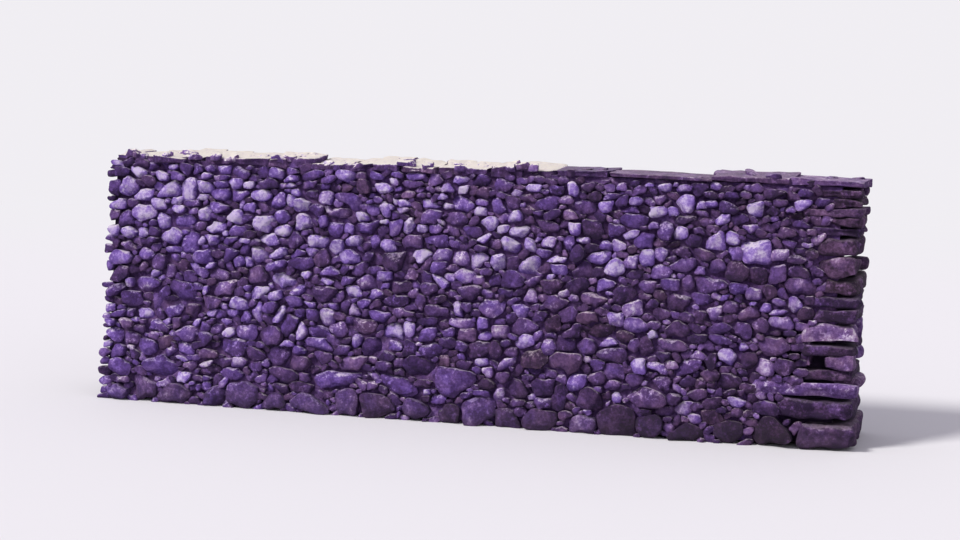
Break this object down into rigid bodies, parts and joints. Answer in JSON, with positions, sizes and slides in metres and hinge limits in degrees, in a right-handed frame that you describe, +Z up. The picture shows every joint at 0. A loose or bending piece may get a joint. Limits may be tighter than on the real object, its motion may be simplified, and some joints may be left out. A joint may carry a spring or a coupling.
{
  "type": "dry stone wall length with one built end",
  "caption": "Free-standing double dry stone field wall with battered faces, rubble hearting, through stones, flat cover stones and one squared end.",
  "frame": {"origin": "centre of the bounding box at the footing's bed, which stands on the ground", "axes": "+X along the wall towards its built end, -Y out of the face seen in the picture, +Z up"},
  "size_m": [4.53, 0.72, 1.512],
  "materials": {
    "footing_stone": "weathered rough limestone, large and earthy",
    "face_stone": "weathered rubble limestone, pale lichened to dark",
    "hearting_rubble": "small packed rubble in shade",
    "through_stone": "flat-bedded weathered limestone",
    "quoin_stone": "roughly squared weathered limestone",
    "cover_stone": "flat limestone slabs, bleached on top"
  },
  "bodies": {
    "root": {"back_skin_bay_1": "face_stone", "back_skin_bay_2": "face_stone", "back_skin_bay_3": "face_stone", "back_skin_bay_4": "face_stone", "back_skin_bay_5": "face_stone", "back_skin_bay_6": "face_stone", "cheek_course_01": "quoin_stone", "cheek_course_02": "quoin_stone", "cheek_course_03": "quoin_stone", "cheek_course_04": "quoin_stone", "cheek_course_05": "quoin_stone", "cheek_course_06": "quoin_stone", "cheek_course_07": "quoin_stone", "cheek_course_08": "quoin_stone", "cheek_course_09": "quoin_stone", "cheek_course_10": "quoin_stone", "cheek_course_11": "quoin_stone", "cheek_course_12": "quoin_stone", "cheek_course_13": "quoin_stone", "cheek_course_14": "quoin_stone", "cover_stone_01": "cover_stone", "cover_stone_02": "cover_stone", "cover_stone_03": "cover_stone", "cover_stone_04": "cover_stone", "cover_stone_05": "cover_stone", "cover_stone_06": "cover_stone", "cover_stone_07": "cover_stone", "cover_stone_08": "cover_stone", "cover_stone_09": "cover_stone", "cover_stone_10": "cover_stone", "cover_stone_11": "cover_stone", "cover_stone_12": "cover_stone", "footing_back": "footing_stone", "footing_cheek": "footing_stone", "footing_front": "footing_stone", "front_skin_bay_1": "face_stone", "front_skin_bay_2": "face_stone", "front_skin_bay_3": "face_stone", "front_skin_bay_4": "face_stone", "front_skin_bay_5": "face_stone", "front_skin_bay_6": "face_stone", "hearting": "hearting_rubble", "through_stones": "through_stone"}
  },
  "joints": []
}
